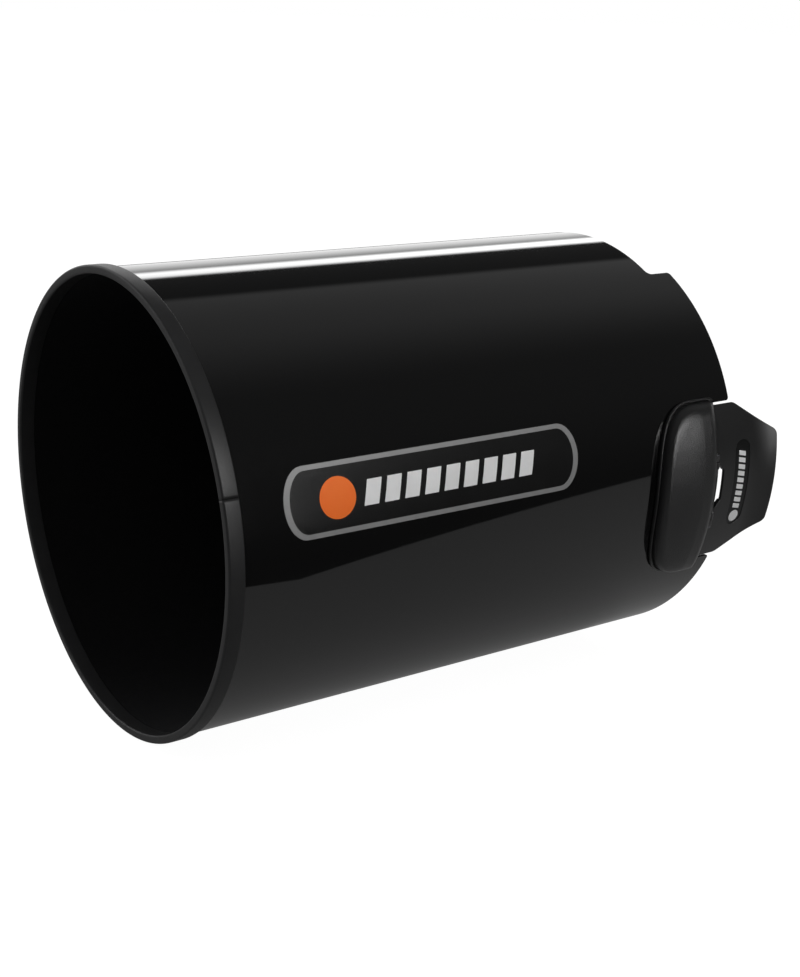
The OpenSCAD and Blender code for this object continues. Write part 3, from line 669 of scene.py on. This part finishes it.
def latch_cover():
    b = Build()
    side = HALF_W * SCALE
    brim = (HALF_W * 0.9995 - side) * np.linspace(0, 1, 13)[1:]
    middle = side * np.sin(np.linspace(-math.pi / 2, math.pi / 2, 221))
    s = np.concatenate([-side - brim[::-1], middle, side + brim])
    flange_rows, rows = 14, 130
    cols = len(s)
    y = np.zeros((cols, flange_rows + rows + 1))
    rear = rear_edge(s) - 0.3
    front = front_edge(s)
    foot = np.where(np.abs(s) < side, front_edge(s, SCALE), CENTRE)
    foot = np.minimum(np.maximum(foot, front), rear - 0.5)
    for j in range(flange_rows):
        y[:, j] = front + (foot - front) * (j / flange_rows)
    t = np.linspace(0, 1, rows + 1)
    ease = 0.5 * t ** 2.2 + 0.5 * (1 - (1 - t) ** 1.3)
    ease = ease * t ** 0.6
    for j in range(rows + 1):
        y[:, flange_rows + j] = foot + (rear - foot) * ease[j]
    S = np.repeat(s[:, None], y.shape[1], 1)
    top = cover_top(y, S)
    # round the upper corner of the flange
    r = 0.45
    gap = (1 - reach(y, S, 0)) * np.hypot(y - CENTRE, S)
    near = np.clip(r - gap, 0, r)
    top = top - (r - np.sqrt(r ** 2 - near ** 2))
    under = np.minimum(cover_under(y, S), top - 0.2)
    T, U = on_tube(y, S, top), on_tube(y, S, under)
    n = y.shape[1]
    upper = [b.points(T[i], np.zeros((n, 3))) for i in range(cols)]
    lower = [b.points(U[i], np.zeros((n, 3))) for i in range(cols)]
    for i in range(cols - 1):
        b.strip(upper[i + 1], upper[i], n, closed=False, flip=True)
        b.strip(lower[i], lower[i + 1], n, closed=False, flip=True)
    # side wall below the flange, front and flanks
    first = b.points(on_tube(y[:, 0], s, np.full(cols, 0.6)), np.zeros((cols, 3)))
    for i in range(cols - 1):
        b.faces.append((upper[i], upper[i + 1], first + i + 1, first + i))
    for i in range(cols - 1):
        b.faces.append((first + i, first + i + 1, lower[i + 1], lower[i]))
    for end in (0, cols - 1):
        for j in range(n - 1):
            f = (upper[end] + j, upper[end] + j + 1, lower[end] + j + 1, lower[end] + j)
            b.faces.append(f if end else f[::-1])
    # rear rim, with a small round on its upper edge
    last = n - 1
    edge = [(0.12, 0.05), (0.22, 0.14), (0.28, 0.28), (0.3, 0.45)]
    before = [upper[i] + last for i in range(cols)]
    for out, drop in edge:
        h = np.maximum(top[:, last] - drop, 0.3)
        new = b.points(on_tube(y[:, last] + out, s, h), np.zeros((cols, 3)))
        for i in range(cols - 1):
            b.faces.append((before[i], before[i + 1], new + i + 1, new + i)[::-1])
        before = [new + i for i in range(cols)]
    low = np.minimum(under[:, last], top[:, last] - 0.5)
    new = b.points(on_tube(y[:, last] + 0.3, s, low), np.zeros((cols, 3)))
    for i in range(cols - 1):
        b.faces.append((before[i], before[i + 1], new + i + 1, new + i)[::-1])
        b.faces.append((new + i, new + i + 1, lower[i + 1] + last, lower[i] + last)[::-1])
    o = piece("cover_shell", b.verts, b.faces, "latch_cover")
    bm = bmesh.new()
    bm.from_mesh(o.data)
    bmesh.ops.remove_doubles(bm, verts=bm.verts, dist=2e-6)
    bmesh.ops.recalc_face_normals(bm, faces=bm.faces)
    bm.to_mesh(o.data)
    bm.free()
    o.data.polygons.foreach_set("use_smooth", [True] * len(o.data.polygons))
    o.data.set_sharp_from_angle(angle=math.radians(50))


latch_cover()

# ---- lever ---------------------------------------------------------------------------------------
BLADE_ROOT, STEP_Y, STEP, FLARE_FROM, TIP, FLARE, THICK = -14.5, -11.4, 0.4, 16.0, 32.4, 3.5, 2.4


# the recessed pill: length, height and how far its ends bulge, its place along the axis, and by how many
# degrees it sits below the lever's middle
PILL = (50.5, 11.8, 5.9)
PILL_Y, PILL_TURN = 8.2, 0.5
WINDOW_REAR, WINDOW_HALF, LEDGE_REAR, LEDGE_HALF, LEDGE_FRONT = -10.8, 14.2, -6.62, 9.0, -5.0
LEDGE_THICK = 1.6


def across_lever(loop):
    """An outline drawn along X, turned to run across the lever at the pill's place."""
    return [np.array([-p[1] + PILL_Y, p[0]]) for p in loop]


def blade_radius(y):
    lift = 0 if y < FLARE_FROM else FLARE * ((y - FLARE_FROM) / (TIP - FLARE_FROM)) ** 2
    return R + lift - STEP * (1 - float(smooth(np.array(y), STEP_Y - 0.1, STEP_Y + 0.4)))


def blade_slope(y):
    return 0 if y < FLARE_FROM else 2 * FLARE * (y - FLARE_FROM) / (TIP - FLARE_FROM) ** 2


def lever():
    plate = Plate(90, blade_radius, blade_slope)
    side = [((BLADE_ROOT, 44.9), 1), ((3.2, 44.9), 7), ((TIP, 27.3), 4.5)]
    pts = [p for p, _ in side] + [(p[0], -p[1]) for p, _ in reversed(side)]
    rad = [r for _, r in side] + [r for _, r in reversed(side)]
    outline = dense(lay(rounded(pts, rad, 12)), 1.2)
    rear_side = [(WINDOW_REAR, -WINDOW_HALF), (WINDOW_REAR, WINDOW_HALF)]
    window = rounded(rear_side + [(-6.3, 8.6), (-6.3, -8.6)], [0.5, 0.5, 2, 2], 8)
    window = dense(lay(window), 0.8)[::-1]
    # on the inner side the window is wider, down to a ledge
    under = rounded(rear_side + [(LEDGE_REAR, LEDGE_HALF), (LEDGE_FRONT, LEDGE_HALF),
                                 (LEDGE_FRONT, -LEDGE_HALF), (LEDGE_REAR, -LEDGE_HALF)],
                    [0.5, 0.5, 0.1, 0.1, 0.1, 0.1], 3)
    under = dense(lay(under), 0.8)[::-1]
    rear = sorted((tuple(p) for p in window if abs(p[1]) < 8.95 and p[0] > -8), key=lambda p: p[1])
    ledge = [(LEDGE_REAR, -LEDGE_HALF)] + rear
    ledge += [(LEDGE_REAR, LEDGE_HALF), (LEDGE_FRONT, LEDGE_HALF), (LEDGE_FRONT, -LEDGE_HALF)]
    pill = across_lever(stadium(*PILL, steps=30))
    a = math.radians(PILL_TURN)
    pill = [np.array([p[0], p[1] * math.cos(a) - math.sqrt(R * R - p[1] ** 2) * math.sin(a)]) for p in pill]
    pill = dense(lay(pill), 0.8)[::-1]
    edge, small, lip = 0.55, 0.35, 0.3
    plate.face([shifted(outline, edge), shifted(window, small), shifted(pill, lip)], grid=(0.9, 1.2))
    plate.face([shifted(outline, 0.3), under], THICK, grid=(2.0, 1.5), down=True)
    plate.rim(outline, round_profile(edge, THICK, 0.3))
    plate.rim(window, round_profile(small, LEDGE_THICK))
    plate.rim(under, [(0, LEDGE_THICK, 90), (0, THICK, 90)])
    plate.face([dense(lay(ledge), 1.0)], LEDGE_THICK, grid=(2.0, 1.5), down=True)
    plate.rim(pill, round_profile(lip, 0.6, steps=5))
    plate.face([pill[::-1]], 0.6, grid=(2.0, 1.5))
    # the necks from the hinge end inside the blade; the shoe's 2 mm travel is spread evenly over the swing
    neck = [(-3.5, 2.6), (-3.6, 4.4), (-4.6, 5.4), (-4.8, 8.4), (-3.9, 8.4)]
    lead = 2.0 / math.radians(90)

    def cam(deg):
        t = math.radians(deg)
        h = 4.2 - lead * t
        return (-h * math.cos(t) - lead * math.sin(t), -h * math.sin(t) + lead * math.cos(t))

    def arc(r, first, last, step):
        angles = [math.radians(t) for t in range(first, last, step)]
        return [(r * math.cos(t), r * math.sin(t)) for t in angles]

    cam_loop = [cam(90 * i / 18) for i in range(18, -1, -1)] + neck + arc(2.2, 40, -91, -10)
    knuckle = neck + arc(3.1, 40, -222, -6)
    return plate, cam_loop, knuckle


plate, cam_loop, knuckle_loop = lever()
piece("lever_blade", plate.b.verts, plate.b.faces, "lever", body="lever", normals=plate.b.normals)


def hinge_piece(name, outline, spans, bevel):
    """Straight extrusions along Z of an outline about the hinge pin."""
    bm = bmesh.new()
    n = len(outline)
    for z0, z1 in spans:
        low, high = [[bm.verts.new(((PIN_X + p[0]) * MM, (PIN_Y + p[1]) * MM, z * MM)) for p in outline]
                     for z in (z0, z1)]
        bm.faces.new(low[::-1])
        bm.faces.new(high)
        for i in range(n):
            bm.faces.new((low[i], low[(i + 1) % n], high[(i + 1) % n], high[i]))
    bmesh.ops.recalc_face_normals(bm, faces=bm.faces)
    mesh = bpy.data.meshes.new(name)
    bm.to_mesh(mesh)
    bm.free()
    mesh.polygons.foreach_set("use_smooth", [True] * len(mesh.polygons))
    mesh.set_sharp_from_angle(angle=math.radians(35))
    mod = attach(name, mesh, "lever", "lever").modifiers.new("bevel", "BEVEL")
    mod.width = bevel * MM
    mod.segments = 3
    mod.limit_method = "ANGLE"
    mod.angle_limit = math.radians(40)
    mod.harden_normals = True


hinge_piece("lever_cams", cam_loop, [(8.0, 12.75), (-12.75, -8.0)], 0.2)
hinge_piece("lever_knuckles", knuckle_loop, [(12.9, 17.0), (-17.0, -12.9)], 0.25)


# ---- lever inlay and marks -----------------------------------------------------------------------
def inlay_piece(name, replaced, outlines, top, foot, edge):
    plate = Plate(90 + PILL_TURN, lambda y: top)
    for outline in outlines:
        outline = dense(lay(outline), 1.0)
        plate.face([shifted(outline, edge)], grid=(2.0, 1.2))
        plate.rim(outline, round_profile(edge, top - foot, steps=3))
    return piece(name, plate.b.verts, plate.b.faces, replaced, body="lever", normals=plate.b.normals)


pill = across_lever(stadium(*PILL, steps=30))
inlay_piece("inlay_strip", "lever_inlay", [pill], R - 0.35, R - 0.6, 0.08)
marks = [dot((-20.2, 0), 3.5, 40)] + bars(-15.2, 3.9, 2.7, 5.2, 0.6)
marks = [across_lever(m) for m in marks]
inlay_piece("inlay_marks", "lever_marks", marks, R - 0.2, R - 0.35, 0.04)


# ---- return springs ------------------------------------------------------------------------------
def springs():
    b = Build()
    wire, radius, turns, low, high = 0.28, 1.8, 4.5, 122.2, 123.95
    for side in (-1, 1):
        steps, around = 240, 10
        rows = []
        for i in range(steps + 1):
            u = i / steps
            t = 2 * math.pi * turns * u
            x = low + wire + (high - low - 2 * wire) * min(max((u - 0.12) / 0.76, 0), 1)
            c = np.array([x, -31 + radius * math.cos(t), side * 8 + radius * math.sin(t)])
            out = np.array([0, math.cos(t), math.sin(t)])
            pts, nor = [], []
            for k in range(around):
                a = 2 * math.pi * k / around
                n = out * math.cos(a) + np.array([1, 0, 0]) * math.sin(a)
                pts.append(c + n * wire)
                nor.append(n)
            rows.append(b.points(pts, nor))
        for p, q in zip(rows, rows[1:]):
            b.strip(p, q, around)
        b.faces.append(tuple(rows[0] + k for k in reversed(range(around))))
        b.faces.append(tuple(rows[-1] + k for k in range(around)))
    return piece("spring_coils", b.verts, b.faces, "return_springs", normals=b.normals)


springs()

# ---- stage ---------------------------------------------------------------------------------------
FLOOR_Z = -0.1218


def board(name, pts, colour, glow):
    mesh = bpy.data.meshes.new(name)
    mesh.from_pydata([(x, y, FLOOR_Z) for x, y in pts], [], [tuple(range(len(pts)))])
    m, _, bsdf = material(name)
    bsdf.inputs["Base Color"].default_value = (*colour, 1)
    bsdf.inputs["Roughness"].default_value = 0.9
    bsdf.inputs["Specular IOR Level"].default_value = 0.0
    bsdf.inputs["Emission Color"].default_value = (1, 1, 1, 1)
    bsdf.inputs["Emission Strength"].default_value = glow
    mesh.materials.append(m)
    o = bpy.data.objects.new(name, mesh)
    scene.collection.objects.link(o)
    return o


# The floor that shows is a plain glowing white. The one that the object mirrors is a lit board of limited
# width, with a corner on the camera's side of the object.
shown_floor = board("floor_shown", [(-9, -9), (9, -9), (9, 9), (-9, 9)], (0.1, 0.1, 0.1), 0.98)
shown_floor.visible_glossy = False
shown_floor.visible_diffuse = False
shown_floor.visible_shadow = False
lit_part = [(-3.0, -3.0), (1.2, -3.0), (0.6, -0.5), (0.34, -0.14), (1.1, 1.1), (1.1, 3.0), (-3.0, 3.0)]
mirrored = board("floor_mirrored", lit_part, (0.24, 0.24, 0.24), 0.16)
mirrored.visible_camera = False
mirrored.location.z = -0.0004


# Soft boxes of the studio, by the angle round the tube's axis from overhead towards the latch, in
# degrees: where each one begins, is full from, is full to and ends, and its brightness
SOFT_BOXES = {
    "side_wash": (-145, -85, -83, -60, 1.3),
    "strip": (-73, -67, -64, -59.5, 4.0),
    "ceiling": (-40, -35, -10, 30, 0.18),
    "latch_side": (-40, -35, 50, 110, 0.06),
    "floor_bounce": (115, 140, 220, 250, 0.18),
}
AMBIENT = 0.05


def math_node(t, operation, *values):
    n = t.nodes.new("ShaderNodeMath")
    n.operation = operation
    for socket, value in zip(n.inputs, values):
        if isinstance(value, (int, float)):
            socket.default_value = value
        else:
            t.links.new(value, socket)
    return n.outputs[0]


def fade(t, angle, start, end, low, high):
    """Smooth change from low to high as the angle goes from start to end, in degrees."""
    n = t.nodes.new("ShaderNodeMapRange")
    n.interpolation_type = "SMOOTHSTEP"
    n.inputs["From Min"].default_value = math.radians(start)
    n.inputs["From Max"].default_value = math.radians(end)
    n.inputs["To Min"].default_value = low
    n.inputs["To Max"].default_value = high
    t.links.new(angle, n.inputs["Value"])
    return n.outputs["Result"]


def world():
    w = bpy.data.worlds.new("studio")
    scene.world = w
    w.use_nodes = True
    t = w.node_tree
    t.nodes.clear()
    out = t.nodes.new("ShaderNodeOutputWorld")
    tc = t.nodes.new("ShaderNodeTexCoord")
    sep = t.nodes.new("ShaderNodeSeparateXYZ")
    t.links.new(tc.outputs["Generated"], sep.inputs[0])
    turn = math_node(t, "ARCTAN2", sep.outputs["X"], sep.outputs["Z"])
    total = AMBIENT
    for begin, full_from, full_to, end, level in SOFT_BOXES.values():
        middle = (full_from + full_to) / 2
        away = math_node(t, "SUBTRACT", turn, math.radians(middle))
        away = math_node(t, "WRAP", away, math.pi, -math.pi)
        rise = fade(t, away, begin - middle, full_from - middle, 0, level)
        fall = fade(t, away, full_to - middle, end - middle, 1, 0)
        total = math_node(t, "ADD", math_node(t, "MULTIPLY", rise, fall), total)
    bg = t.nodes.new("ShaderNodeBackground")
    bg.inputs["Color"].default_value = (1, 1, 1, 1)
    t.links.new(total, bg.inputs["Strength"])
    white = t.nodes.new("ShaderNodeBackground")
    white.inputs["Color"].default_value = (1, 1, 1, 1)
    white.inputs["Strength"].default_value = 1.0
    path = t.nodes.new("ShaderNodeLightPath")
    mix = t.nodes.new("ShaderNodeMixShader")
    t.links.new(path.outputs["Is Camera Ray"], mix.inputs[0])
    t.links.new(bg.outputs[0], mix.inputs[1])
    t.links.new(white.outputs[0], mix.inputs[2])
    t.links.new(mix.outputs[0], out.inputs[0])


world()


def area_light(name, where, aim, size, power, glossy=True, diffuse=True):
    d = bpy.data.lights.new(name, "AREA")
    d.shape = "RECTANGLE"
    d.size, d.size_y = size
    d.energy = power
    o = bpy.data.objects.new(name, d)
    scene.collection.objects.link(o)
    o.location = where
    o.rotation_euler = (Vector(aim) - Vector(where)).to_track_quat("-Z", "Y").to_euler()
    o.visible_glossy = glossy
    o.visible_diffuse = diffuse


area_light("overhead", (0.3, -0.3, 1.6), (0.2, -0.2, 0), (2.4, 2.4), 22, glossy=False)
area_light("front_fill", (0.8, -1.12, 0.96), (0.125, -0.03, 0), (1.3, 0.9), 9, glossy=False)
area_light("key", (1.415, 0.15, 0.77), (0.125, -0.03, 0.02), (0.3, 0.3), 18, diffuse=False)
area_light("lip", (1.55, 0.22, 0.25), (0.12, 0.02, 0), (0.35, 0.6), 4, diffuse=False)

# ---- camera --------------------------------------------------------------------------------------
cam_data = bpy.data.cameras.new("camera")
cam_obj = bpy.data.objects.new("camera", cam_data)
scene.collection.objects.link(cam_obj)
# the side that the camera looks from, its roll in degrees, and its place in metres
CAM_AZIMUTH, CAM_ELEVATION, CAM_ROLL = -35.40, 20.15, 2.78
CAM_PLACE = (0.6616, -0.6312, 0.2648)
turned = Matrix.Rotation(math.radians(CAM_AZIMUTH + 90), 4, "Z")
turned = turned @ Matrix.Rotation(math.radians(90 - CAM_ELEVATION), 4, "X")
turned = turned @ Matrix.Rotation(math.radians(CAM_ROLL), 4, "Z")
cam_obj.matrix_world = Matrix.Translation(CAM_PLACE) @ turned
cam_data.sensor_width = 36
cam_data.lens = 55.85
cam_data.shift_x, cam_data.shift_y = 0.0307, 0.0307
cam_data.clip_start = 0.01
scene.camera = cam_obj
scene.view_settings.view_transform = "Standard"
